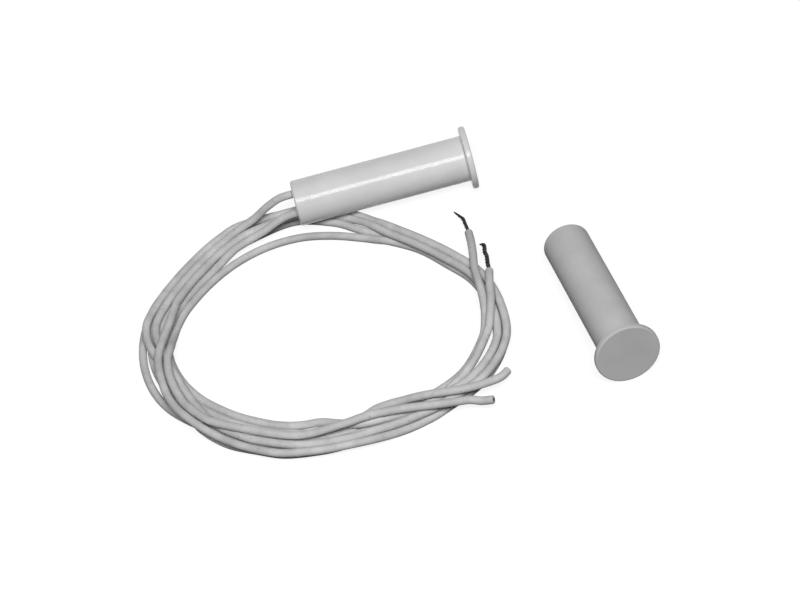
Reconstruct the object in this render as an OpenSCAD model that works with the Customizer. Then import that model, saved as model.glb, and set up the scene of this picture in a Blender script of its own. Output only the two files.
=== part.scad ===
// Recessed magnetic door contact: a reed switch capsule with four free leads, and its magnet capsule.
// The switch lies along +X and the magnet lies beside it, leaning on its flange, as laid on a table.

/* [Capsules] */
// Outside diameter of both barrels
barrel_d = 8.0; // [7:0.1:10]
// Length of a capsule over its flange
capsule_l = 31.5; // [26:0.5:45]
// Diameter of the flange at the closed end
flange_d = 11.0; // [10:0.1:14]
// Thickness of the flange
flange_t = 1.1; // [0.8:0.1:2]
// Wall of the barrel
wall = 0.8; // [0.6:0.1:1.2]
// Thickness of the closed end, flange and all
face_t = 1.5; // [1.2:0.1:2.5]
// Rounding of the flange's rim
rim_r = 0.3; // [0.1:0.05:0.4]
// Fillet where the barrel meets the flange
root_r = 0.25; // [0.1:0.05:0.5]
// Chamfer at the open end of the barrel
lead_in = 0.25; // [0.1:0.05:0.4]

/* [Potting] */
// Length of the resin plug behind the reed switch
potting_l = 5.0; // [3:0.5:8]
// How far the resin stands back from the open end
potting_recess = 0.4; // [0:0.1:1]
// How far a lead's insulation runs into the resin
lead_grip = 3.6; // [2:0.1:4]

/* [Reed Switch] */
// Outside diameter of the glass
glass_d = 2.2; // [1.8:0.1:2.8]
// Wall of the glass
glass_wall = 0.35; // [0.2:0.05:0.5]
// Length of the glass
glass_l = 14.0; // [10:0.5:16]
// Length of the solid seal at each end of the glass
seal_l = 2.0; // [1.2:0.1:3]
// Clear length between the resin and the glass
joint_room = 4.2; // [3:0.1:6]
// Diameter of a reed's round shank
shank_d = 0.5; // [0.4:0.05:0.6]
// Length of the rear shank held in the resin
shank_grip = 1.2; // [0.5:0.1:3]
// Length of the front shank beyond the glass
shank_l = 3.4; // [2:0.1:5]
// Width of a reed's flat blade
blade_w = 1.1; // [0.8:0.1:1.3]
// Thickness of a reed's flat blade
blade_t = 0.24; // [0.15:0.01:0.3]
// Distance from the seal to the flat blade
blade_root = 0.5; // [0.3:0.1:1]
// Overlap of the two blades
blade_overlap = 1.2; // [0.8:0.1:2]
// Gap between the two blades
blade_gap = 0.15; // [0.05:0.05:0.25]
// Diameter of the return wire
return_d = 0.5; // [0.4:0.05:0.6]
// Outside diameter of the sleeve on the return wire
sleeve_d = 1.0; // [0.8:0.1:1.2]
// Radius of a solder joint
solder_r = 0.7; // [0.6:0.05:0.8]
// Straight length of a solder joint
solder_l = 0.9; // [0.5:0.1:1.5]

/* [Magnet] */
// Diametral clearance of the bar magnet in its bore
magnet_fit = 0.2; // [0.1:0.05:0.5]
// Length of the bar magnet
magnet_l = 24.0; // [15:0.5:26]
// Chamfer of the bar magnet's ends
magnet_chamfer = 0.3; // [0.1:0.1:0.6]

/* [Leads] */
// Outside diameter of a lead's insulation
lead_d = 1.4; // [1.2:0.1:1.6]
// Diameter of a lead's stranded conductor
core_d = 0.6; // [0.5:0.05:0.7]

/* [Placement] */
// Where the rear face of the switch stands along X
switch_x = -25.95; // [-40:0.05:0]
// Where the axis of the switch stands along Y
switch_y = 26.25; // [0:0.05:40]
// Centre of the magnet's rear face, X and Y
magnet_at = [16.6, 0.2]; // [-40:0.1:40]
// How far the magnet is turned from +X
magnet_turn = -83; // [-180:1:180]

/* [Hidden] */
$fn = 64;
wire_fn = 24;
wire_sides = 8;

bore_d = barrel_d - 2 * wall;
switch_z = flange_d / 2;
potting_end = potting_recess + potting_l;
grip_end = potting_recess + lead_grip;

// Where each lead leaves the resin, across and above the axis of the switch
exits = [[0.2, 2.1], [-1.9, -0.5], [-0.7, -2.0], [0.8, -2.2]];

// The reed switch along the axis, measured from the rear face
glass_x = potting_end + joint_room;
glass_end = glass_x + glass_l;
reed_middle = glass_x + glass_l / 2;
joint_x = potting_end + joint_room / 2;
front_joint_x = glass_end + shank_l / 2;
bare_end = 0.15;
solder_lap = solder_l / 2 + bare_end;
bend_gap = 0.3;

// The return wire runs between the glass and the bore, close to lead 2
return_at = [-2.0, 0.05];
sleeve_gap = 0.8;

// A solid turned about +X from an outline of [distance along, radius] points
module turned(points) {
    rotate([90, 0, 90])
        rotate_extrude()
            polygon([for (p = points) [p[1], p[0]]]);
}

// Points of a quarter round about a centre, from one angle to another
function arc(centre, r, from, to, steps = 6) =
    [for (i = [0 : steps]) let (a = from + (to - from) * i / steps) centre + r * [cos(a), sin(a)]];

// A round rod between two points
module rod(p, q, d) {
    v = q - p;
    translate(p)
        rotate([0, acos(v[2] / norm(v)), atan2(v[1], v[0])])
            cylinder(h = norm(v), d = d, $fn = wire_fn);
}

// A bead of solder along +X about a middle point
module solder(middle) {
    translate(middle)
        turned(concat(
            arc([-solder_l / 2, 0], solder_r, 180, 90),
            arc([solder_l / 2, 0], solder_r, 90, 0)
        ));
}

function unit(v) = v / norm(v);

// The corners of a tube's ring about point i of its path
function ring(path, i, r, sides) =
    let (
        along = unit(path[min(i + 1, len(path) - 1)] - path[max(i - 1, 0)]),
        across = unit(cross(along, [0, 0, 1])),
        up = cross(across, along)
    )
    [for (j = [0 : sides - 1]) path[i] + r * (across * cos(j * 360 / sides) + up * sin(j * 360 / sides))];

// A round tube along a path
module tube(path, d, sides) {
    last = len(path) - 1;
    polyhedron(
        [for (i = [0 : last]) each ring(path, i, d / 2, sides)],
        concat(
            [[for (j = [sides - 1 : -1 : 0]) j]],
            [for (i = [0 : last - 1], j = [0 : sides - 1])
                let (k = (j + 1) % sides)
                each [
                    [i * sides + j, i * sides + k, (i + 1) * sides + j],
                    [i * sides + k, (i + 1) * sides + k, (i + 1) * sides + j]
                ]],
            [[for (j = [0 : sides - 1]) last * sides + j]]
        )
    );
}

// A bent wire through a list of points
module wire(points, d) {
    tube(points, d, wire_sides);
}

// A moulded capsule along +X: open barrel at x = 0, flange and closed face at the far end
module capsule() {
    r = barrel_d / 2;
    rf = flange_d / 2;
    back = capsule_l - flange_t;
    bore = bore_d / 2;
    turned(concat(
        [[0, bore + lead_in / 2], [0, r - lead_in], [lead_in, r], [back - root_r, r]],
        arc([back - root_r, r + root_r], root_r, -90, 0),
        [[back, rf - rim_r]],
        arc([back + rim_r, rf - rim_r], rim_r, 180, 90),
        arc([capsule_l - rim_r, rf - rim_r], rim_r, 90, 0),
        [[capsule_l, 0], [capsule_l - face_t, 0], [capsule_l - face_t, bore], [lead_in / 2, bore]]
    ));
}

// The magnet capsule lies on the rear edge of its flange and on the rear rim of its barrel
magnet_lean = atan((flange_d - barrel_d) / 2 / (capsule_l - flange_t + rim_r - lead_in));
magnet_z = barrel_d / 2 * cos(magnet_lean) - lead_in * sin(magnet_lean);

module in_switch() {
    translate([switch_x, switch_y, switch_z])
        children();
}

module in_magnet() {
    translate([magnet_at[0], magnet_at[1], magnet_z])
        rotate([0, 0, magnet_turn])
            rotate([0, -magnet_lean, 0])
                children();
}

// A point beside the axis of the switch, at a distance along it
function beside(along, offset) = [along, offset[0], offset[1]];

// Bare ends of the four conductors inside the housing, from the insulation to the solder
film = 0.05;
lap = (core_d + shank_d) / 2 + film;
tamper_at = [0.1, -2.1];
tamper_lap = [(core_d + film) / 2, 0];
function tail(exit, ends) =
    [beside(grip_end, exit), beside(potting_end + bend_gap, exit),
    beside(joint_x - solder_lap, ends), beside(joint_x + solder_lap, ends)];
tails = [
    tail(exits[0], [0, lap]), tail(exits[1], exits[1]),
    tail(exits[2], tamper_at - tamper_lap), tail(exits[3], tamper_at + tamper_lap)
];

// The return wire, from its joint beside lead 2 past the glass to the end of the front reed
return_lap = (return_d + shank_d) / 2 + film;
return_path = [beside(joint_x - solder_lap, return_at),
    beside(glass_end + sleeve_gap, return_at),
    beside(front_joint_x - solder_lap, [-return_lap, 0]),
    beside(front_joint_x + solder_lap, [-return_lap, 0])];

module switch_housing() {
    color("whitesmoke")
        in_switch()
            capsule();
}

module switch_potting() {
    color("dimgray")
        in_switch()
            difference() {
                translate([potting_recess, 0, 0])
                    rotate([0, 90, 0])
                        cylinder(h = potting_l, d = bore_d);
                for (i = [0 : 3]) {
                    rod(beside(0, exits[i]), beside(grip_end, exits[i]), lead_d);
                    rod(beside(grip_end, exits[i]), beside(potting_end + bend_gap, exits[i]), core_d);
                }
                rod([potting_end - shank_grip, 0, 0], [potting_end + 1, 0, 0], shank_d);
            }
}

module reed_glass() {
    r = glass_d / 2;
    dome = r * 0.6;
    inner = r - glass_wall;
    hole = shank_d / 2;
    color("lightcyan")
        in_switch()
            difference() {
                turned(concat(
                    [[glass_x, 0]],
                    arc([glass_x + dome, r - dome], dome, 180, 90),
                    arc([glass_end - dome, r - dome], dome, 90, 0),
                    [[glass_end, 0]]
                ));
                turned([
                    [glass_x + seal_l, 0], [glass_x + seal_l, hole], [glass_x + seal_l + inner, inner],
                    [glass_end - seal_l - inner, inner], [glass_end - seal_l, hole], [glass_end - seal_l, 0]
                ]);
                rod([glass_x - 1, 0, 0], [glass_end + 1, 0, 0], shank_d);
            }
}

// One reed: a round shank along +X and a flat blade, one face half a gap from the axis
module reed(shank_from, seal, blade_to) {
    side = blade_to > seal ? 1 : -1;
    root = seal + side * blade_root;
    full = root + side * (blade_w - shank_d);
    rod([shank_from, 0, 0], [root + side * shank_d / 2, 0, 0], shank_d);
    translate([0, 0, side > 0 ? blade_gap / 2 : -blade_gap / 2 - blade_t])
        linear_extrude(blade_t)
            polygon([
                [root, -shank_d / 2], [full, -blade_w / 2], [blade_to, -blade_w / 2],
                [blade_to, blade_w / 2], [full, blade_w / 2], [root, shank_d / 2]
            ]);
}

module rear_reed() {
    color("silver")
        in_switch()
            reed(potting_end - shank_grip, glass_x + seal_l, reed_middle + blade_overlap / 2);
}

module front_reed() {
    color("silver")
        in_switch()
            reed(glass_end + shank_l, glass_end - seal_l, reed_middle - blade_overlap / 2);
}

module return_wire() {
    color("silver")
        in_switch()
            wire(return_path, return_d);
}

module return_sleeve() {
    color("ivory")
        in_switch()
            difference() {
                rod(beside(glass_x - sleeve_gap, return_at), beside(glass_end, return_at), sleeve_d);
                rod(beside(glass_x - 2 * sleeve_gap, return_at), beside(glass_end + 1, return_at), return_d);
            }
}

module front_joint() {
    color("gray")
        in_switch()
            difference() {
                solder([front_joint_x, -return_lap / 2, 0]);
                rod([glass_end, 0, 0], [glass_end + shank_l, 0, 0], shank_d);
                wire(return_path, return_d);
            }
}

module rear_joint() {
    color("gray")
        in_switch()
            difference() {
                solder([joint_x, 0, lap / 2]);
                rod([potting_end - shank_grip, 0, 0], [glass_x + seal_l, 0, 0], shank_d);
                wire(tails[0], core_d);
            }
}

module return_joint() {
    color("gray")
        in_switch()
            difference() {
                solder(beside(joint_x, (return_at + exits[1]) / 2));
                wire(return_path, return_d);
                wire(tails[1], core_d);
            }
}

module tamper_joint() {
    color("gray")
        in_switch()
            difference() {
                solder(beside(joint_x, tamper_at));
                wire(tails[2], core_d);
                wire(tails[3], core_d);
            }
}

// The four leads lie in a loose coil round this centre, in layers on the table
coil_at = [-26.8, 0.55];
layer_h = 1.42;
lead_rings = 80;
lead_sides = 8;

// A point behind the rear face: its distance from the face, and its place across and above the axis
function exit_point(p) = [switch_x - p[0], switch_y + p[1], switch_z + p[2]];

// A point of the coil: the angle about its centre, the radius, and the layer that the lead lies in
function coil_point(p) =
    [coil_at[0] + p[1] * cos(p[0]), coil_at[1] + p[1] * sin(p[0]), lead_d / 2 + layer_h * p[2]];

// A point of the smooth curve through a list of points, at t points along it
function curve_at(points, t) =
    let (
        last = len(points) - 1,
        i = min(floor(t), last - 1),
        u = t - i,
        b = points[i],
        c = points[i + 1],
        a = i > 0 ? points[i - 1] : 2 * b - c,
        d = i + 1 < last ? points[i + 2] : 2 * c - b
    )
    (2 * b + (c - a) * u + (2 * a - 5 * b + 4 * c - d) * u * u + (3 * b - a - 3 * c + d) * u * u * u) / 2;

function curve(points, count) =
    [for (i = [0 : count - 1]) curve_at(points, i * (len(points) - 1) / (count - 1))];

// Where each lead goes from the resin to the table
exit_1 = [[-grip_end, 0.2, 2.1], [0, 0.2, 2.1], [2.5, 0.2, 1.9], [5, 0.3, 0.6], [7.6, 0.6, -1.4]];
exit_2 = [[-grip_end, -1.9, -0.5], [0, -1.9, -0.5], [2.9, -1.9, -0.9], [6.4, -2, -2.5]];
exit_3 = [[-grip_end, -0.7, -2], [0, -0.7, -2], [2.9, -0.6, -2.2], [6.4, -0.4, -2.9]];
exit_4 = [[-grip_end, 0.8, -2.2], [0, 0.8, -2.2], [2.9, 1, -2.4], [6.4, 1.8, -3]];

// Where each lead goes round the coil, as angle, radius and layer
round_1 = [
    [112, 28, 1.3], [118, 27.7, 1.1], [125, 27.4, 1], [133, 27.2, 1], [140, 27.3, 1],
    [150, 27.7, 1], [160, 28.3, 1], [166, 28.2, 1], [172, 27.5, 1], [179, 26.6, 1], [186, 26.1, 1],
    [193, 25.9, 1], [200, 26.1, 1], [210, 26.7, 1], [218, 27.5, 1], [225, 28.1, 1], [232, 28.5, 1],
    [240, 28.9, 1], [255, 29.7, 1], [270, 30, 1], [278, 30.2, 1], [286, 30.9, 1], [293, 31.6, 1],
    [300, 32.4, 1], [315, 34.1, 1], [330, 33.8, 1], [345, 31.1, 1], [360, 28.4, 1], [375, 25.4, 1],
    [390, 23.7, 1], [405, 23.3, 1], [413, 24, 0.7], [418, 24.9, 0.2], [425, 26.1, 0],
    [435, 27.7, 0], [450, 29.5, 0], [465, 29.2, 0], [480, 29.3, 0], [495, 29.7, 0], [510, 30.4, 0],
    [520, 30.6, 0], [530, 30.6, 0], [540, 30.5, 0], [550, 30.3, 0], [560, 29.9, 0], [570, 29.1, 0],
    [585, 28.4, 0], [600, 28.5, 0], [615, 28.7, 0], [622, 28.6, 0], [630, 28.4, 0], [645, 28.6, 0],
    [660, 29.5, 0], [675, 30.7, 0.9], [690, 30.4, 1.3], [697, 30.2, 1.9], [705, 29.8, 2.1],
    [712, 29.6, 2.2], [717, 29.8, 2.1]
];
round_2 = [
    [110, 24.9, 1], [117, 24.9, 0.9], [125, 24.7, 0.5], [132, 25, 0.1], [140, 25.3, 0],
    [150, 25.9, 0], [160, 26.3, 0], [170, 26.2, 0], [180, 25.9, 0], [190, 25.4, 0], [200, 24.9, 0],
    [210, 24.4, 0], [225, 23.9, 0], [240, 23.9, 0], [248, 24, 0], [255, 24.3, 0.3], [262, 25, 0.9],
    [269, 26.5, 1.1], [276, 27.8, 1], [284, 28.7, 1], [292, 29.9, 1], [300, 30.8, 1],
    [315, 32.5, 1], [330, 32.2, 1], [345, 29.5, 1], [360, 26.8, 1], [375, 23.8, 1], [390, 22.2, 1],
    [405, 21.8, 1], [413, 22.4, 1], [418, 23.2, 0.8], [425, 24.6, 0.3], [435, 26.1, 0],
    [450, 28.1, 0], [465, 27.8, 0], [480, 27.9, 0], [495, 28.3, 0], [510, 29, 0], [520, 29.2, 0],
    [530, 29.1, 0], [540, 28.8, 0], [550, 28.3, 0], [560, 27.7, 0], [570, 27.3, 0], [585, 26.9, 0],
    [600, 27, 0], [615, 27.3, 0], [622, 27.2, 0], [630, 27, 0], [645, 27.1, 0], [660, 28.1, 0],
    [675, 29.4, 0], [690, 29.3, 0.2], [698, 29, 0.9], [705, 28.4, 1.7], [713, 27.7, 2.1],
    [720, 27.5, 2.1], [728, 28.2, 1.9], [735, 29.2, 1.4], [740.5, 30.2, 1.1]
];
round_3 = [
    [110, 26.6, 1], [117, 26.3, 1], [125, 26, 1], [133, 25.7, 1], [140, 25.8, 1], [150, 25.9, 1.2],
    [157, 25.5, 1.7], [165, 25.4, 2.1], [171, 26, 2.1], [178, 27, 2.1], [184, 27.8, 2.1],
    [190, 28.3, 2], [196, 28.8, 2], [202, 29.4, 2], [209, 29.9, 2], [218, 30.2, 1.9],
    [225, 30.3, 1.5], [232, 30.5, 1.2], [240, 30.8, 1], [250, 31.4, 1], [262, 31.4, 1],
    [270, 31.4, 0.9], [278, 31.7, 0.7], [286, 31.8, 0.2], [293, 32.1, 0], [300, 32.5, 0],
    [315, 33.7, 0], [330, 33.2, 0], [345, 30.9, 0], [360, 28.4, 0], [375, 25.5, 0], [390, 24, 0],
    [405, 22.8, 0], [413, 22.4, 0], [418, 22.3, 0], [425, 23, 0], [435, 24.6, 0], [450, 26.6, 0],
    [465, 26.4, 0], [480, 26.5, 0], [495, 26.8, 0], [510, 27.6, 0], [520, 27.8, 0], [530, 27.7, 0],
    [540, 27.4, 0], [550, 26.9, 0], [560, 26.3, 0], [570, 25.8, 0], [585, 25.4, 0], [600, 25.5, 0],
    [615, 25.9, 0], [622, 25.8, 0], [630, 25.6, 0], [638, 25.1, 0.1], [643, 25.1, 0.5],
    [648, 26, 0.9], [652, 27.3, 1.3], [656, 29, 1.8], [660, 30.9, 2.1], [664, 32.9, 2.1],
    [668, 34.8, 2], [672, 36.2, 1.7], [675.5, 37.2, 1.4], [678.7, 37.4, 1.2]
];
round_4 = [
    [110, 29.4, 1], [117, 29.2, 1], [125, 28.9, 1], [133, 28.7, 1], [140, 28.8, 1], [150, 29.3, 1],
    [160, 30, 1], [166, 29.9, 1], [172, 29.2, 1], [179, 28.1, 1], [186, 27.5, 1], [193, 27.3, 1],
    [200, 27.6, 1], [210, 28.4, 1], [218, 29.6, 0.9], [225, 29.9, 0.4], [232, 29.9, 0],
    [240, 29.9, 0], [250, 30.4, 0], [262, 30.2, 0], [270, 30, 0], [278, 29.9, 0], [286, 30.1, 0],
    [293, 30.6, 0], [300, 31, 0], [315, 32.3, 0], [330, 31.8, 0], [345, 29.4, 0], [360, 26.8, 0],
    [375, 23.9, 0], [390, 22.5, 0], [405, 21.4, 0], [413, 20.9, 0], [420, 20.8, 0], [435, 21.3, 0],
    [450, 22.2, 0], [465, 22.8, 0], [480, 23.2, 0], [495, 23.6, 0], [510, 24.4, 0],
    [520, 24.9, 0.1], [530, 25.1, 0.7], [538, 25.3, 1.7], [545, 26.2, 2.1], [552, 26.9, 2.1],
    [558, 27.4, 2.1], [565, 28, 2.1], [570, 28.4, 2.1], [578, 28.7, 2.2], [585, 28.6, 2.1],
    [600, 27.9, 1.8], [615, 28.2, 1.5], [630, 28, 2], [636, 28, 2.1], [641, 28.3, 2.1],
    [646, 29.2, 2.1], [651, 30.5, 2.1], [656, 32.3, 2], [661, 34.3, 1.8], [665, 35.9, 1.5],
    [667, 37.5, 1.2], [668.6, 39.3, 1.4]
];
// The bare conductor at the stripped end of leads 1 and 2, bent as it lies
bare_1 = [[3, 0.8, 3.6], [3.2, 2.9, 3.3], [3.1, 4.4, 3], [3.3, 5.8, 2.8], [3.2, 6.6, 2.7], [2.7, 6.9, 2.7]];
bare_2 = [[1.4, 12.6, 2.1], [1.3, 14, 2], [1.2, 15.2, 1.9], [0.7, 16.4, 1.8], [0.1, 17.7, 1.7]];
// How far the conductor shows at the cut end of leads 3 and 4
cut_proud = 0.15;

exit_points = [exit_1, exit_2, exit_3, exit_4];
coil_points = [round_1, round_2, round_3, round_4];
lead_paths = [for (i = [0 : 3])
    concat([for (p = exit_points[i]) exit_point(p)], [for (p = coil_points[i]) coil_point(p)])];

// The last point of a lead, and the way it points there
function lead_end(i) = lead_paths[i][len(lead_paths[i]) - 1];
function lead_way(i) = unit(lead_end(i) - curve_at(lead_paths[i], len(lead_paths[i]) - 1.1));

// No lead dips below the table
function laid(p) = [p[0], p[1], max(p[2], lead_d / 2)];

module lead(i) {
    color("gainsboro")
        tube([for (p = curve(lead_paths[i], lead_rings)) laid(p)], lead_d, lead_sides);
}

module lead_1() {
    lead(0);
}

module lead_2() {
    lead(1);
}

module lead_3() {
    lead(2);
}

module lead_4() {
    lead(3);
}

// A conductor where it is bare: inside the housing, and beyond the far end of its insulation
module conductor(i, beyond) {
    color("rosybrown") {
        in_switch()
            wire(tails[i], core_d);
        wire(concat([lead_end(i)], beyond), core_d);
    }
}

module conductor_1() {
    conductor(0, bare_1);
}

module conductor_2() {
    conductor(1, bare_2);
}

module conductor_3() {
    conductor(2, [lead_end(2) + cut_proud * lead_way(2)]);
}

module conductor_4() {
    conductor(3, [lead_end(3) + cut_proud * lead_way(3)]);
}

module magnet_housing() {
    color("darkgray")
        in_magnet()
            capsule();
}

module bar_magnet() {
    r = (bore_d - magnet_fit) / 2;
    front = capsule_l - face_t;
    rear = front - magnet_l;
    color("slategray")
        in_magnet()
            turned([
                [rear, 0], [rear, r - magnet_chamfer], [rear + magnet_chamfer, r],
                [front - magnet_chamfer, r], [front, r - magnet_chamfer], [front, 0]
            ]);
}

module magnet_potting() {
    color("dimgray")
        in_magnet()
            translate([potting_recess, 0, 0])
                rotate([0, 90, 0])
                    cylinder(h = capsule_l - face_t - magnet_l - potting_recess, d = bore_d);
}

switch_housing();
switch_potting();
reed_glass();
rear_reed();
front_reed();
return_wire();
return_sleeve();
front_joint();
rear_joint();
return_joint();
tamper_joint();
lead_1();
lead_2();
lead_3();
lead_4();
conductor_1();
conductor_2();
conductor_3();
conductor_4();
magnet_housing();
bar_magnet();
magnet_potting();
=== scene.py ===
from math import cos, radians, sin

import bmesh
import bpy
from mathutils import Matrix, Vector


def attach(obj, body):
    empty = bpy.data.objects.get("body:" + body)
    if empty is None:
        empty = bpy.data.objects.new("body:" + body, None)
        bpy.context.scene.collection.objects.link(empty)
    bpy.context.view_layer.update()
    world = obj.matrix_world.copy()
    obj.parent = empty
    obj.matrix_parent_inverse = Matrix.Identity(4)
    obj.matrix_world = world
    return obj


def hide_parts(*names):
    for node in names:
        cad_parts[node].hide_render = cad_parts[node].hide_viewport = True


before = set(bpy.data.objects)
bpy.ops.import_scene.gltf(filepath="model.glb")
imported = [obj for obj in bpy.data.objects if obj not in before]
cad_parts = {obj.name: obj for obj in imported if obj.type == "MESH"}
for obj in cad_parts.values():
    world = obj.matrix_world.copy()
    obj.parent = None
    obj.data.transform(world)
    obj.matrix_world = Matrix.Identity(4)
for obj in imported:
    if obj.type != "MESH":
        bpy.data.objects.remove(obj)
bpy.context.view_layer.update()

# Looks of a recessed magnetic contact: a switch capsule with four coiled leads, and a magnet capsule

MM = 0.001

# In millimetres, as in the part's source: radius of a lead, radius of its conductor, and how far a lead
# reaches into the resin
LEAD_R = 0.7
CORE_R = 0.3
GRIP_END = 4.0

# The middle of the switch capsule's open end
SWITCH_REAR = Vector((-25.95, 26.25, 5.5))

# The camera, fitted to the outlines of both capsules in the photograph
CAMERA_AIM = Vector((-12.78, 1.55, 0.0))
CAMERA_DISTANCE = 600.0
CAMERA_ELEVATION = radians(42.55)
CAMERA_ROLL = radians(14.96)
CAMERA_LENS = 160.0

# Nearest and farthest that the camera sees, in metres
CAMERA_CLIP = (0.01, 20)


def make_camera():
    """Stands the camera at the photograph's viewpoint."""
    out = Vector((0, -cos(CAMERA_ELEVATION), sin(CAMERA_ELEVATION)))
    level_up = Vector((0, sin(CAMERA_ELEVATION), cos(CAMERA_ELEVATION)))
    level_right = Vector((1, 0, 0))
    right = level_right * cos(CAMERA_ROLL) - level_up * sin(CAMERA_ROLL)
    up = level_right * sin(CAMERA_ROLL) + level_up * cos(CAMERA_ROLL)
    place = (CAMERA_AIM + out * CAMERA_DISTANCE) * MM
    data = bpy.data.cameras.new("camera")
    data.lens = CAMERA_LENS
    data.clip_start, data.clip_end = CAMERA_CLIP
    camera = bpy.data.objects.new("camera", data)
    turn = Matrix((right, up, out)).transposed().to_4x4()
    camera.matrix_world = Matrix.Translation(place) @ turn
    bpy.context.scene.collection.objects.link(camera)
    bpy.context.scene.camera = camera


# Where each lead goes behind the open end: distance from it, and place across and above the axis
EXITS = [
    [(-GRIP_END, 0.2, 2.1), (0, 0.2, 2.1), (2.5, 0.2, 1.9), (5, 0.3, 0.6), (7.6, 0.6, -1.4)],
    [(-GRIP_END, -1.9, -0.5), (0, -1.9, -0.5), (2.9, -1.9, -0.9), (6.4, -2, -2.5)],
    [(-GRIP_END, -0.7, -2), (0, -0.7, -2), (2.9, -0.6, -2.2), (6.4, -0.4, -2.9)],
    [(-GRIP_END, 0.8, -2.2), (0, 0.8, -2.2), (2.9, 1, -2.4), (6.4, 1.8, -3)],
]

# The coil's centre on the table, and the height of one layer of leads
COIL_AT = (-26.8, 0.55)
LAYER_H = 1.42

# Where each lead goes round the coil: angle in degrees, radius, and layer. The coil is loose, so these
# points are given one by one, and loops turn them into the leads' middle lines.
ROUND_1 = [
    [112, 28, 1.3], [118, 27.7, 1.1], [125, 27.4, 1], [133, 27.2, 1], [140, 27.3, 1],
    [150, 27.7, 1], [160, 28.3, 1], [166, 28.2, 1], [172, 27.5, 1], [179, 26.6, 1], [186, 26.1, 1],
    [193, 25.9, 1], [200, 26.1, 1], [210, 26.7, 1], [218, 27.5, 1], [225, 28.1, 1], [232, 28.5, 1],
    [240, 28.9, 1], [255, 29.7, 1], [270, 30, 1], [278, 30.2, 1], [286, 30.9, 1], [293, 31.6, 1],
    [300, 32.4, 1], [315, 34.1, 1], [330, 33.8, 1], [345, 31.1, 1], [360, 28.4, 1], [375, 25.4, 1],
    [390, 23.7, 1], [405, 23.3, 1], [413, 24, 0.7], [418, 24.9, 0.2], [425, 26.1, 0],
    [435, 27.7, 0], [450, 29.5, 0], [465, 29.2, 0], [480, 29.3, 0], [495, 29.7, 0], [510, 30.4, 0],
    [520, 30.6, 0], [530, 30.6, 0], [540, 30.5, 0], [550, 30.3, 0], [560, 29.9, 0], [570, 29.1, 0],
    [585, 28.4, 0], [600, 28.5, 0], [615, 28.7, 0], [622, 28.6, 0], [630, 28.4, 0], [645, 28.6, 0],
    [660, 29.5, 0], [675, 30.7, 0.9], [690, 30.4, 1.3], [697, 30.2, 1.9], [705, 29.8, 2.1],
    [712, 29.6, 2.2], [717, 29.8, 2.1]
]
ROUND_2 = [
    [110, 24.9, 1], [117, 24.9, 0.9], [125, 24.7, 0.5], [132, 25, 0.1], [140, 25.3, 0],
    [150, 25.9, 0], [160, 26.3, 0], [170, 26.2, 0], [180, 25.9, 0], [190, 25.4, 0], [200, 24.9, 0],
    [210, 24.4, 0], [225, 23.9, 0], [240, 23.9, 0], [248, 24, 0], [255, 24.3, 0.3], [262, 25, 0.9],
    [269, 26.5, 1.1], [276, 27.8, 1], [284, 28.7, 1], [292, 29.9, 1], [300, 30.8, 1],
    [315, 32.5, 1], [330, 32.2, 1], [345, 29.5, 1], [360, 26.8, 1], [375, 23.8, 1], [390, 22.2, 1],
    [405, 21.8, 1], [413, 22.4, 1], [418, 23.2, 0.8], [425, 24.6, 0.3], [435, 26.1, 0],
    [450, 28.1, 0], [465, 27.8, 0], [480, 27.9, 0], [495, 28.3, 0], [510, 29, 0], [520, 29.2, 0],
    [530, 29.1, 0], [540, 28.8, 0], [550, 28.3, 0], [560, 27.7, 0], [570, 27.3, 0], [585, 26.9, 0],
    [600, 27, 0], [615, 27.3, 0], [622, 27.2, 0], [630, 27, 0], [645, 27.1, 0], [660, 28.1, 0],
    [675, 29.4, 0], [690, 29.3, 0.2], [698, 29, 0.9], [705, 28.4, 1.7], [713, 27.7, 2.1],
    [720, 27.5, 2.1], [728, 28.2, 1.9], [735, 29.2, 1.4], [740.5, 30.2, 1.1]
]
ROUND_3 = [
    [110, 26.6, 1], [117, 26.3, 1], [125, 26, 1], [133, 25.7, 1], [140, 25.8, 1], [150, 25.9, 1.2],
    [157, 25.5, 1.7], [165, 25.4, 2.1], [171, 26, 2.1], [178, 27, 2.1], [184, 27.8, 2.1],
    [190, 28.3, 2], [196, 28.8, 2], [202, 29.4, 2], [209, 29.9, 2], [218, 30.2, 1.9],
    [225, 30.3, 1.5], [232, 30.5, 1.2], [240, 30.8, 1], [250, 31.4, 1], [262, 31.4, 1],
    [270, 31.4, 0.9], [278, 31.7, 0.7], [286, 31.8, 0.2], [293, 32.1, 0], [300, 32.5, 0],
    [315, 33.7, 0], [330, 33.2, 0], [345, 30.9, 0], [360, 28.4, 0], [375, 25.5, 0], [390, 24, 0],
    [405, 22.8, 0], [413, 22.4, 0], [418, 22.3, 0], [425, 23, 0], [435, 24.6, 0], [450, 26.6, 0],
    [465, 26.4, 0], [480, 26.5, 0], [495, 26.8, 0], [510, 27.6, 0], [520, 27.8, 0], [530, 27.7, 0],
    [540, 27.4, 0], [550, 26.9, 0], [560, 26.3, 0], [570, 25.8, 0], [585, 25.4, 0], [600, 25.5, 0],
    [615, 25.9, 0], [622, 25.8, 0], [630, 25.6, 0], [638, 25.1, 0.1], [643, 25.1, 0.5],
    [648, 26, 0.9], [652, 27.3, 1.3], [656, 29, 1.8], [660, 30.9, 2.1], [664, 32.9, 2.1],
    [668, 34.8, 2], [672, 36.2, 1.7], [675.5, 37.2, 1.4], [678.7, 37.4, 1.2]
]
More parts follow.
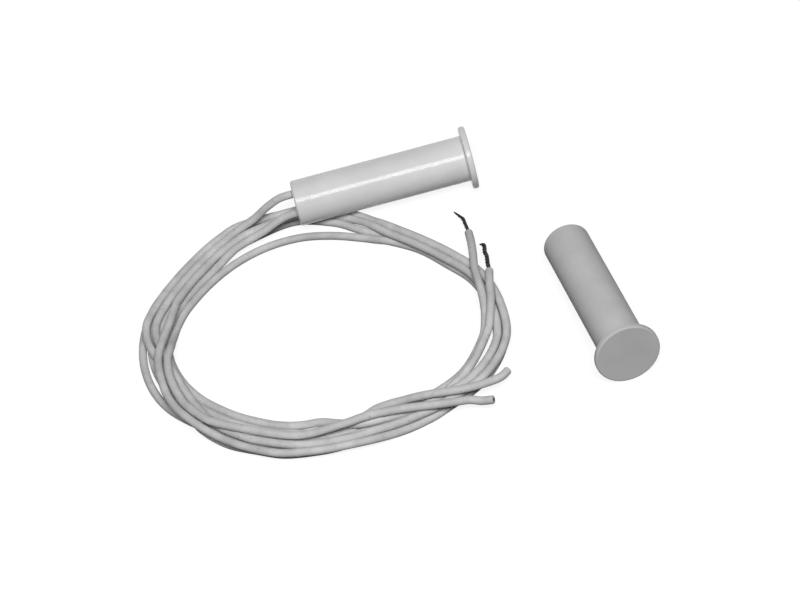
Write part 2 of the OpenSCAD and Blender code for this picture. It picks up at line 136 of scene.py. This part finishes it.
ROUND_4 = [
    [110, 29.4, 1], [117, 29.2, 1], [125, 28.9, 1], [133, 28.7, 1], [140, 28.8, 1], [150, 29.3, 1],
    [160, 30, 1], [166, 29.9, 1], [172, 29.2, 1], [179, 28.1, 1], [186, 27.5, 1], [193, 27.3, 1],
    [200, 27.6, 1], [210, 28.4, 1], [218, 29.6, 0.9], [225, 29.9, 0.4], [232, 29.9, 0],
    [240, 29.9, 0], [250, 30.4, 0], [262, 30.2, 0], [270, 30, 0], [278, 29.9, 0], [286, 30.1, 0],
    [293, 30.6, 0], [300, 31, 0], [315, 32.3, 0], [330, 31.8, 0], [345, 29.4, 0], [360, 26.8, 0],
    [375, 23.9, 0], [390, 22.5, 0], [405, 21.4, 0], [413, 20.9, 0], [420, 20.8, 0], [435, 21.3, 0],
    [450, 22.2, 0], [465, 22.8, 0], [480, 23.2, 0], [495, 23.6, 0], [510, 24.4, 0],
    [520, 24.9, 0.1], [530, 25.1, 0.7], [538, 25.3, 1.7], [545, 26.2, 2.1], [552, 26.9, 2.1],
    [558, 27.4, 2.1], [565, 28, 2.1], [570, 28.4, 2.1], [578, 28.7, 2.2], [585, 28.6, 2.1],
    [600, 27.9, 1.8], [615, 28.2, 1.5], [630, 28, 2], [636, 28, 2.1], [641, 28.3, 2.1],
    [646, 29.2, 2.1], [651, 30.5, 2.1], [656, 32.3, 2], [661, 34.3, 1.8], [665, 35.9, 1.5],
    [667, 37.5, 1.2], [668.6, 39.3, 1.4]
]

# The bare conductor at the stripped ends, bent as it lies
BARE_1 = [
    (3, 0.8, 3.6), (3.2, 2.9, 3.3), (3.1, 4.4, 3), (3.3, 5.8, 2.8), (3.2, 6.6, 2.7), (2.7, 6.9, 2.7)
]
BARE_2 = [(1.4, 12.6, 2.1), (1.3, 14, 2), (1.2, 15.2, 1.9), (0.7, 16.4, 1.8), (0.1, 17.7, 1.7)]

# How its strands twist: length of a whole turn, distance from the middle line, and length of the tip
# where they close in
TWIST_1 = {"pitch": 3.4, "across": 0.28, "taper": 0.8}
TWIST_2 = {"pitch": 4.4, "across": 0.21, "taper": 2.6}

# Steps that a smooth curve takes from one of its points to the next
ROUTE_STEPS = 10
BARE_STEPS = 24

# Fineness of the round edge of a lead and of a strand
LEAD_FINENESS = 6
STRAND_FINENESS = 3


def exit_point(behind, across, above):
    return SWITCH_REAR + Vector((-behind, across, above))


def coil_point(angle, radius, layer):
    turn = radians(angle)
    height = LEAD_R + LAYER_H * layer
    return Vector((COIL_AT[0] + radius * cos(turn), COIL_AT[1] + radius * sin(turn), height))


def smooth_curve(points, steps=ROUTE_STEPS):
    """Points of the smooth curve through a list of points."""
    points = [Vector(p) for p in points]
    ends = [2 * points[0] - points[1]] + points + [2 * points[-1] - points[-2]]
    made = []
    for a, b, c, d in zip(ends, ends[1:], ends[2:], ends[3:]):
        for step in range(steps):
            u = step / steps
            made.append((2 * b + (c - a) * u + (2 * a - 5 * b + 4 * c - d) * u * u
                         + (3 * b - a - 3 * c + d) * u * u * u) / 2)
    return made + [points[-1]]


def lead_path(exit_points, round_points):
    """The middle line of a lead from the resin to its end, never below the table."""
    points = [exit_point(*p) for p in exit_points] + [coil_point(*p) for p in round_points]
    return [Vector((p.x, p.y, max(p.z, LEAD_R))) for p in smooth_curve(points)]


def path_length(path):
    return sum((q - p).length for p, q in zip(path, path[1:]))


def side_and_up(along):
    """Two directions square to a line: one level, and one as upright as it can be."""
    side = along.cross(Vector((0, 0, 1))).normalized()
    return side, side.cross(along)


def round_line(name, paths, radius, fineness):
    """A curve object with one round line along each path, given in millimetres."""
    data = bpy.data.curves.new(name, "CURVE")
    data.dimensions = "3D"
    data.bevel_depth = radius * MM
    data.bevel_resolution = fineness
    data.use_fill_caps = True
    for path in paths:
        spline = data.splines.new("POLY")
        spline.points.add(len(path) - 1)
        for point, place in zip(spline.points, path):
            point.co = (*(place * MM), 1)
    piece = bpy.data.objects.new(name, data)
    bpy.context.scene.collection.objects.link(piece)
    return piece


# Radius of the insulation's edge where it was cut or stripped, and the angles at which it is drawn
CUT_EDGE = 0.15
CUT_EDGE_TURNS = [radians(angle) for angle in (0, 30, 60, 90)]


def make_leads():
    """The four leads, which stand for their plain solids."""
    insulation = soft_pvc()
    leads = []
    for number, (exits, rounds) in enumerate(zip(EXITS, [ROUND_1, ROUND_2, ROUND_3, ROUND_4]), 1):
        path = lead_path(exits, rounds)
        along = (path[-1] - path[-2]).normalized()
        edge = [path[-1] - along * CUT_EDGE * (1 - sin(turn)) for turn in CUT_EDGE_TURNS]
        lead = round_line("insulation_%d" % number, [path[:-1] + edge], LEAD_R, LEAD_FINENESS)
        edge_points = lead.data.splines[0].points[-len(CUT_EDGE_TURNS):]
        for point, turn in zip(edge_points, CUT_EDGE_TURNS):
            point.radius = 1 - CUT_EDGE * (1 - cos(turn)) / LEAD_R
        lead.data.materials.append(insulation)
        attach(lead, "root")
        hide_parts("lead_%d" % number)
        leads.append((lead, path))
    return leads


# The bare conductors

# Inside the housing, ahead of its open end: where the resin ends, where the solder sits, how far it
# reaches either way, and how far past the resin a conductor starts to bend
POTTING_END = 5.4
JOINT_X = 7.5
SOLDER_LAP = 0.6
BEND_GAP = 0.3

# Where each conductor is soldered: across and above the axis
TAIL_ENDS = [(0, 0.6), (-1.9, -0.5), (-0.225, -2.1), (0.425, -2.1)]

# A stripped end: radius of a strand, degrees between neighbours in a bundle, and the share of the
# distance from the middle line at which a bundle's middle strand lies
STRAND_R = 0.12
STRAND_TURN = 50
MIDDLE_SHARE = 0.75

# A cut end: radius of a strand, how far the middle one stands out of the cut face, the ring of strands
# as a share of the conductor's radius, and how far they stand out by turns, as shares of the middle one
CUT_STRAND_R = CORE_R / 3
CUT_PROUD = 0.15
CUT_RING = 0.66
CUT_RING_COUNT = 6
CUT_RING_PROUD = (0.5, 0.9)


def tail_path(number):
    """The bare conductor of a lead inside the housing, from its insulation to the solder."""
    exit_at = EXITS[number][0][1:]
    end_at = TAIL_ENDS[number]
    points = [(GRIP_END, *exit_at), (POTTING_END + BEND_GAP, *exit_at),
              (JOINT_X - SOLDER_LAP, *end_at), (JOINT_X + SOLDER_LAP, *end_at)]
    return [SWITCH_REAR + Vector(p) for p in points]


def strand_path(path, turn, pitch, across, taper):
    """A strand that winds about a middle line; its last part closes in on the line."""
    length = path_length(path)
    gone = 0.0
    made = []
    for index, point in enumerate(path):
        before = path[max(index - 1, 0)]
        after = path[min(index + 1, len(path) - 1)]
        side, up = side_and_up((after - before).normalized())
        if index:
            gone += (point - before).length
        close = min(1.0, (length - gone) / taper)
        angle = turn + radians(360) * gone / pitch
        made.append(point + (side * cos(angle) + up * sin(angle)) * across * close)
    return made


def make_conductor(name, number, paths, strand_r, copper):
    """One piece with a strand along each path, and with the conductor's inner end, which is round."""
    strands = round_line(name, paths + [tail_path(number)], strand_r, STRAND_FINENESS)
    for point in strands.data.splines[-1].points:
        point.radius = CORE_R / strand_r
    strands.data.materials.append(copper)
    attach(strands, "root")
    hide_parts("conductor_%d" % (number + 1))
    return strands


def make_twisted_end(number, lead_end, bare, copper, pitch, across, taper):
    """Two bundles of three fine strands each, twisted together."""
    middle = smooth_curve([lead_end] + [Vector(p) for p in bare], BARE_STEPS)
    paths = []
    for bundle in (0, 180):
        for strand in (-1, 0, 1):
            turn = radians(bundle + strand * STRAND_TURN)
            reach = across * (1.0 if strand else MIDDLE_SHARE)
            paths.append(strand_path(middle, turn, pitch, reach, taper))
    return make_conductor("strands_%d" % (number + 1), number, paths, STRAND_R, copper)


def make_cut_end(number, path, copper):
    """The ends of the strands in a cut face: one in the middle and a ring round it."""
    end = path[-1]
    along = (path[-1] - path[-3]).normalized()
    side, up = side_and_up(along)
    paths = [[end - along * CUT_PROUD, end + along * CUT_PROUD]]
    for strand in range(CUT_RING_COUNT):
        turn = radians(strand * 360 / CUT_RING_COUNT)
        out = (side * cos(turn) + up * sin(turn)) * CORE_R * CUT_RING
        proud = CUT_PROUD * CUT_RING_PROUD[strand % 2]
        paths.append([end + out - along * CUT_PROUD, end + out + along * proud])
    return make_conductor("cut_strands_%d" % (number + 1), number, paths, CUT_STRAND_R, copper)


# Materials

# Each IOR is the material's own. A specular level under the default of 0.5 is matched to how little the
# real skin mirrors of its bright surroundings.

# A noise seldom passes these values, so a ramp or a range between them uses its whole width
NOISE_LOW = 0.35
NOISE_HIGH = 0.65
NOISE_SPAN = {"From Min": NOISE_LOW, "From Max": NOISE_HIGH}


def colour(code):
    """A colour for the renderer, from its sRGB hex code."""
    parts = [int(code[i:i + 2], 16) / 255 for i in (1, 3, 5)]
    return (*(p / 12.92 if p <= 0.04045 else ((p + 0.055) / 1.055) ** 2.4 for p in parts), 1.0)


def every(size):
    """The scale of a pattern whose marks are about this many millimetres across."""
    return 1 / (size * MM)


def start(name):
    """A new material with an empty node tree."""
    material = bpy.data.materials.new(name)
    material.use_nodes = True
    material.node_tree.nodes.clear()
    return material, material.node_tree


def add(tree, kind, inputs=None, shades=None, **settings):
    """Adds a node: each input takes a value or another node's output, and a ramp its two shades."""
    node = tree.nodes.new(kind)
    for name, value in settings.items():
        setattr(node, name, value)
    for name, value in (inputs or {}).items():
        if isinstance(value, bpy.types.NodeSocket):
            tree.links.new(value, node.inputs[name])
        else:
            node.inputs[name].default_value = value
    if shades:
        for stop, shade, position in zip(node.color_ramp.elements, shades, (NOISE_LOW, NOISE_HIGH)):
            stop.color = colour(shade)
            stop.position = position
    return node


# White ABS, injection moulded against a polished steel mould. The eye sees a clean skin with a satin
# gloss that draws one sharp streak of light along the barrel. Flow marks 6 mm long shift its tone a
# little, and the shrunk skin breaks the streak's edges: that grain is about 0.1 mm on the real part,
# too fine to show, and is drawn at 0.5 mm.
def moulded_abs_white():
    material, tree = start("moulded_abs_white")
    place = add(tree, "ShaderNodeTexCoord").outputs["Object"]
    flow = add(tree, "ShaderNodeTexNoise", {"Vector": place, "Scale": every(6), "Detail": 3.0})
    tone = add(tree, "ShaderNodeValToRGB", {"Fac": flow.outputs["Fac"]}, shades=("#dadada", "#e1e1e1"))
    skin = add(tree, "ShaderNodeTexNoise", {"Vector": place, "Scale": every(0.5), "Detail": 3.0})
    gloss = add(tree, "ShaderNodeMapRange", {
        "Value": skin.outputs["Fac"], **NOISE_SPAN, "To Min": 0.13, "To Max": 0.22})
    shrink = add(tree, "ShaderNodeBump", {
        "Height": skin.outputs["Fac"], "Strength": 0.5, "Distance": 0.03 * MM})
    shader = add(tree, "ShaderNodeBsdfPrincipled", {
        "Base Color": tone.outputs["Color"], "Roughness": gloss.outputs["Result"],
        "Normal": shrink.outputs["Normal"], "IOR": 1.5, "Specular IOR Level": 0.2})
    add(tree, "ShaderNodeOutputMaterial", {"Surface": shader.outputs["BSDF"]})
    return material


# ABS, injection moulded against a spark-eroded mould; the pair of capsules is the same white plastic. Its
# paler grey tone is painted shade, matched to how much darker the magnet capsule looks under the light.
# The eye sees an even, dull skin without a streak, whose tone shifts a little over 6 mm. The mould's grit
# is about 0.05 mm, too fine to show, and is drawn at 0.5 mm as a faint grain.
def moulded_abs_with_painted_shade():
    material, tree = start("moulded_abs_with_painted_shade")
    place = add(tree, "ShaderNodeTexCoord").outputs["Object"]
    flow = add(tree, "ShaderNodeTexNoise", {"Vector": place, "Scale": every(6), "Detail": 3.0})
    # Painted shade: the white plastic drawn in a darker grey
    tone = add(tree, "ShaderNodeValToRGB", {"Fac": flow.outputs["Fac"]}, shades=("#c4c4c4", "#cccccc"))
    grit = add(tree, "ShaderNodeTexNoise", {"Vector": place, "Scale": every(0.5), "Detail": 4.0})
    gloss = add(tree, "ShaderNodeMapRange", {
        "Value": grit.outputs["Fac"], **NOISE_SPAN, "To Min": 0.5, "To Max": 0.62})
    dents = add(tree, "ShaderNodeBump", {
        "Height": grit.outputs["Fac"], "Strength": 0.4, "Distance": 0.01 * MM})
    shader = add(tree, "ShaderNodeBsdfPrincipled", {
        "Base Color": tone.outputs["Color"], "Roughness": gloss.outputs["Result"],
        "Normal": dents.outputs["Normal"], "IOR": 1.5, "Specular IOR Level": 0.02})
    add(tree, "ShaderNodeOutputMaterial", {"Surface": shader.outputs["BSDF"]})
    return material


# Off-white plasticised PVC, extruded over the strands. The eye sees a soft skin that handling has
# dulled unevenly: smudges 4 mm long darken it, specks of dust 0.6 mm across lie on it where the noise
# is lowest, and the extruded wall swells and thins a little every 1.5 mm or so.
def soft_pvc():
    material, tree = start("soft_pvc")
    place = add(tree, "ShaderNodeTexCoord").outputs["Object"]
    smudge = add(tree, "ShaderNodeTexNoise", {
        "Vector": place, "Scale": every(4), "Detail": 5.0, "Roughness": 0.6})
    skin = add(tree, "ShaderNodeValToRGB", {"Fac": smudge.outputs["Fac"]}, shades=("#bcbcbc", "#d3d3d3"))
    dust = add(tree, "ShaderNodeTexNoise", {"Vector": place, "Scale": every(0.6), "Detail": 2.0})
    specks = add(tree, "ShaderNodeMapRange", {
        "Value": dust.outputs["Fac"], "From Min": 0.22, "From Max": 0.34, "To Min": 0.65, "To Max": 1.0})
    tone = add(tree, "ShaderNodeVectorMath", {
        0: skin.outputs["Color"], 1: specks.outputs["Result"]}, operation="MULTIPLY")
    gloss = add(tree, "ShaderNodeMapRange", {
        "Value": smudge.outputs["Fac"], **NOISE_SPAN, "To Min": 0.5, "To Max": 0.38})
    wall = add(tree, "ShaderNodeTexNoise", {"Vector": place, "Scale": every(1.5), "Detail": 2.0})
    swell = add(tree, "ShaderNodeBump", {
        "Height": wall.outputs["Fac"], "Strength": 0.3, "Distance": 0.05 * MM})
    shader = add(tree, "ShaderNodeBsdfPrincipled", {
        "Base Color": tone.outputs["Vector"], "Roughness": gloss.outputs["Result"],
        "Normal": swell.outputs["Normal"], "IOR": 1.53, "Specular IOR Level": 0.02})
    add(tree, "ShaderNodeOutputMaterial", {"Surface": shader.outputs["BSDF"]})
    return material


# Fine drawn copper wires, bare for a long time. They are drawn nearly black: tarnish darkens them, and
# the rest of that dark is painted shade. Patches of about 0.7 mm are lighter and smoother: painted
# highlight, for the glints of the twisted strands. The tarnish leaves them only partly metallic. The draw
# marks are too fine to show and are drawn at 0.25 mm.
def copper_tarnish_and_painted_light():
    material, tree = start("copper_tarnish_and_painted_light")
    place = add(tree, "ShaderNodeTexCoord").outputs["Object"]
    glint_patches = add(tree, "ShaderNodeTexNoise", {"Vector": place, "Scale": every(0.7), "Detail": 3.0})
    # Near-black tone that is partly painted shade, with lighter patches that are painted highlight
    tone = add(tree, "ShaderNodeValToRGB", {"Fac": glint_patches.outputs["Fac"]}, shades=("#1b1a19", "#3b3734"))
    gloss = add(tree, "ShaderNodeMapRange", {
        "Value": glint_patches.outputs["Fac"], **NOISE_SPAN, "To Min": 0.6, "To Max": 0.35})
    marks = add(tree, "ShaderNodeTexNoise", {"Vector": place, "Scale": every(0.25), "Detail": 2.0})
    scored = add(tree, "ShaderNodeBump", {
        "Height": marks.outputs["Fac"], "Strength": 0.3, "Distance": 0.02 * MM})
    shader = add(tree, "ShaderNodeBsdfPrincipled", {
        "Base Color": tone.outputs["Color"], "Roughness": gloss.outputs["Result"],
        "Normal": scored.outputs["Normal"], "Metallic": 0.6})
    add(tree, "ShaderNodeOutputMaterial", {"Surface": shader.outputs["BSDF"]})
    return material


# Black epoxy resin, poured in and left to set. The eye sees a dark, wet-looking face with slow waves
# about 3 mm across and paler clouds of filler of about 2 mm.
def poured_epoxy():
    material, tree = start("poured_epoxy")
    place = add(tree, "ShaderNodeTexCoord").outputs["Object"]
    filler = add(tree, "ShaderNodeTexNoise", {"Vector": place, "Scale": every(2), "Detail": 4.0})
    tone = add(tree, "ShaderNodeValToRGB", {"Fac": filler.outputs["Fac"]}, shades=("#232322", "#343433"))
    gloss = add(tree, "ShaderNodeMapRange", {
        "Value": filler.outputs["Fac"], "To Min": 0.2, "To Max": 0.36})
    waves = add(tree, "ShaderNodeTexNoise", {"Vector": place, "Scale": every(3), "Detail": 1.0})
    set_face = add(tree, "ShaderNodeBump", {
        "Height": waves.outputs["Fac"], "Strength": 0.4, "Distance": 0.12 * MM})
    shader = add(tree, "ShaderNodeBsdfPrincipled", {
        "Base Color": tone.outputs["Color"], "Roughness": gloss.outputs["Result"],
        "Normal": set_face.outputs["Normal"], "IOR": 1.55})
    add(tree, "ShaderNodeOutputMaterial", {"Surface": shader.outputs["BSDF"]})
    return material


# Pale green sealing glass, drawn as a tube and melted shut at both ends. The eye sees clear glass with
# a green cast that deepens a little in bands about 3 mm long.
def drawn_glass():
    material, tree = start("drawn_glass")
    place = add(tree, "ShaderNodeTexCoord").outputs["Object"]
    bands = add(tree, "ShaderNodeTexNoise", {"Vector": place, "Scale": every(3), "Detail": 2.0})
    tone = add(tree, "ShaderNodeValToRGB", {"Fac": bands.outputs["Fac"]}, shades=("#d6ece0", "#e6f4ec"))
    shader = add(tree, "ShaderNodeBsdfPrincipled", {
        "Base Color": tone.outputs["Color"], "Roughness": 0.04, "IOR": 1.5, "Transmission Weight": 1.0})
    add(tree, "ShaderNodeOutputMaterial", {"Surface": shader.outputs["BSDF"]})
    return material


def metal(name, shades, marks_size, smooth, rough):
    """A bare metal: its tone and its gloss both follow marks of one size, in millimetres."""
    material, tree = start(name)
    place = add(tree, "ShaderNodeTexCoord").outputs["Object"]
    marks = add(tree, "ShaderNodeTexNoise", {"Vector": place, "Scale": every(marks_size), "Detail": 3.0})
    tone = add(tree, "ShaderNodeValToRGB", {"Fac": marks.outputs["Fac"]}, shades=shades)
    gloss = add(tree, "ShaderNodeMapRange", {
        "Value": marks.outputs["Fac"], **NOISE_SPAN, "To Min": smooth, "To Max": rough})
    relief = add(tree, "ShaderNodeBump", {
        "Height": marks.outputs["Fac"], "Strength": 0.3, "Distance": 0.02 * MM})
    shader = add(tree, "ShaderNodeBsdfPrincipled", {
        "Base Color": tone.outputs["Color"], "Roughness": gloss.outputs["Result"],
        "Normal": relief.outputs["Normal"], "Metallic": 1.0})
    add(tree, "ShaderNodeOutputMaterial", {"Surface": shader.outputs["BSDF"]})
    return material


# Nickel-iron wire, drawn round and pressed flat: grey and even, with faint press marks 1 mm long
def drawn_nickel_iron():
    return metal("drawn_nickel_iron", ("#9c9a94", "#b2afa8"), marks_size=1.0, smooth=0.25, rough=0.38)


# Copper wire dipped in tin: bright and silvery, with thicker tin in runs of about 0.8 mm
def tinned_copper():
    return metal("tinned_copper", ("#b6b6b6", "#cacaca"), marks_size=0.8, smooth=0.2, rough=0.32)


# Tin solder, left to freeze on the wires: bright beads with a frosted grain of about 0.6 mm
def frozen_solder():
    return metal("frozen_solder", ("#a8a8ac", "#bebec2"), marks_size=0.6, smooth=0.18, rough=0.34)


# Cast magnet alloy, ground round: dark grey with coarse crystals, about 0.8 mm across
def cast_alnico():
    return metal("cast_alnico", ("#66666a", "#808084"), marks_size=0.8, smooth=0.32, rough=0.46)


# Glass fibre, braided and varnished: cream and dull, with a braid of 0.35 mm bundles
def glass_fibre_sleeving():
    material, tree = start("glass_fibre_sleeving")
    place = add(tree, "ShaderNodeTexCoord").outputs["Object"]
    braid = add(tree, "ShaderNodeTexVoronoi", {"Vector": place, "Scale": every(0.35)})
    tone = add(tree, "ShaderNodeValToRGB", {"Fac": braid.outputs["Distance"]},
               shades=("#e6e1d2", "#cfc7b2"))
    bundles = add(tree, "ShaderNodeBump", {
        "Height": braid.outputs["Distance"], "Strength": 0.5, "Distance": 0.05 * MM})
    shader = add(tree, "ShaderNodeBsdfPrincipled", {
        "Base Color": tone.outputs["Color"], "Roughness": 0.6,
        "Normal": bundles.outputs["Normal"], "IOR": 1.5})
    add(tree, "ShaderNodeOutputMaterial", {"Surface": shader.outputs["BSDF"]})
    return material


def dress_nodes():
    """Gives each solid that stays in view, or that the housings hold, its material."""
    finishes = [
        (moulded_abs_white, ["switch_housing"]),
        (moulded_abs_with_painted_shade, ["magnet_housing"]),
        (poured_epoxy, ["switch_potting", "magnet_potting"]),
        (drawn_glass, ["reed_glass"]),
        (drawn_nickel_iron, ["rear_reed", "front_reed"]),
        (tinned_copper, ["return_wire"]),
        (glass_fibre_sleeving, ["return_sleeve"]),
        (frozen_solder, ["front_joint", "rear_joint", "return_joint", "tamper_joint"]),
        (cast_alnico, ["bar_magnet"]),
    ]
    for finish, names in finishes:
        material = finish()
        for name in names:
            solid = bpy.data.objects[name]
            solid.data.materials.clear()
            solid.data.materials.append(material)


# Floor, background and light

# The floor: half its side in metres, the tone that the camera sees and the glow added to it, and the
# tone that lights the object from below
FLOOR_REACH = 3.0
FLOOR_GREY = "#7c7c7c"
FLOOR_GLOW = 0.87
FLOOR_BOUNCE = "#1c1c1c"

# Strength of the background's even light on the object, where 1 is white
AMBIENT = 0.06

# Each lamp: the direction it comes from, its distance, width and height in metres, and its power in watts
STRIP_LAMP = {"toward": (0.03, -0.58, 0.8), "distance": 0.8, "wide": 0.4, "high": 0.25, "energy": 5.7}
FILL_LAMP = {"toward": (0, 1, 0.11), "distance": 0.9, "wide": 1.0, "high": 0.2, "energy": 2.6}


def seen_directly(tree):
    """A factor of 1 for camera, glossy and transmission rays and 0 for the rest."""
    rays = add(tree, "ShaderNodeLightPath").outputs
    either = add(tree, "ShaderNodeMath", {
        0: rays["Is Camera Ray"], 1: rays["Is Glossy Ray"]}, operation="MAXIMUM")
    any_ray = add(tree, "ShaderNodeMath", {
        0: either.outputs["Value"], 1: rays["Is Transmission Ray"]}, operation="MAXIMUM")
    return any_ray.outputs["Value"]


def make_floor():
    """A plain pale floor that keeps a soft shadow."""
    mesh = bpy.data.meshes.new("floor")
    shape = bmesh.new()
    bmesh.ops.create_grid(shape, x_segments=1, y_segments=1, size=FLOOR_REACH)
    shape.to_mesh(mesh)
    shape.free()
    floor = bpy.data.objects.new("floor", mesh)
    bpy.context.scene.collection.objects.link(floor)
    material, tree = start("floor")
    matte = add(tree, "ShaderNodeBsdfDiffuse", {"Color": colour(FLOOR_GREY)})
    glow = add(tree, "ShaderNodeEmission", {"Strength": FLOOR_GLOW})
    pale = add(tree, "ShaderNodeAddShader", {0: matte.outputs["BSDF"], 1: glow.outputs["Emission"]})
    bounce = add(tree, "ShaderNodeBsdfDiffuse", {"Color": colour(FLOOR_BOUNCE)})
    surface = add(tree, "ShaderNodeMixShader", {
        0: seen_directly(tree), 1: bounce.outputs["BSDF"], 2: pale.outputs["Shader"]})
    add(tree, "ShaderNodeOutputMaterial", {"Surface": surface.outputs["Shader"]})
    mesh.materials.append(material)


def make_world():
    """A white background with a gentler even light on the object."""
    world = bpy.data.worlds.new("studio")
    bpy.context.scene.world = world
    world.use_nodes = True
    tree = world.node_tree
    tree.nodes.clear()
    strength = add(tree, "ShaderNodeMapRange", {
        "Value": seen_directly(tree), "To Min": AMBIENT, "To Max": 1.0})
    white = add(tree, "ShaderNodeBackground", {
        "Color": (1, 1, 1, 1), "Strength": strength.outputs["Result"]})
    add(tree, "ShaderNodeOutputWorld", {"Surface": white.outputs["Background"]})


def area_light(name, toward, distance, wide, high, energy):
    """A soft light that looks at the camera's aim from a direction, with its wide side level."""
    data = bpy.data.lights.new(name, "AREA")
    data.shape = "RECTANGLE"
    data.size = wide
    data.size_y = high
    data.energy = energy
    lamp = bpy.data.objects.new(name, data)
    out = Vector(toward).normalized()
    lamp.location = CAMERA_AIM * MM + out * distance
    lamp.rotation_euler = out.to_track_quat("Z", "Y").to_euler()
    bpy.context.scene.collection.objects.link(lamp)
    return lamp


def make_light():
    """One soft strip light above the camera, and a low one behind that fills the far sides."""
    area_light("strip", **STRIP_LAMP)
    fill = area_light("fill", **FILL_LAMP)
    # The white barrel mirrors the strip alone
    fill.visible_glossy = False


def main():
    scene = bpy.context.scene
    scene.view_settings.view_transform = "Standard"
    make_camera()
    leads = make_leads()
    copper = copper_tarnish_and_painted_light()
    paths = [path for _, path in leads]
    ends = [
        make_twisted_end(0, paths[0][-1], BARE_1, copper, **TWIST_1),
        make_twisted_end(1, paths[1][-1], BARE_2, copper, **TWIST_2),
        make_cut_end(2, paths[2], copper),
        make_cut_end(3, paths[3], copper),
    ]
    # A lead leaves the object at the second of its points, in the capsule's open end
    dress_nodes()
    make_floor()
    make_world()
    make_light()


main()
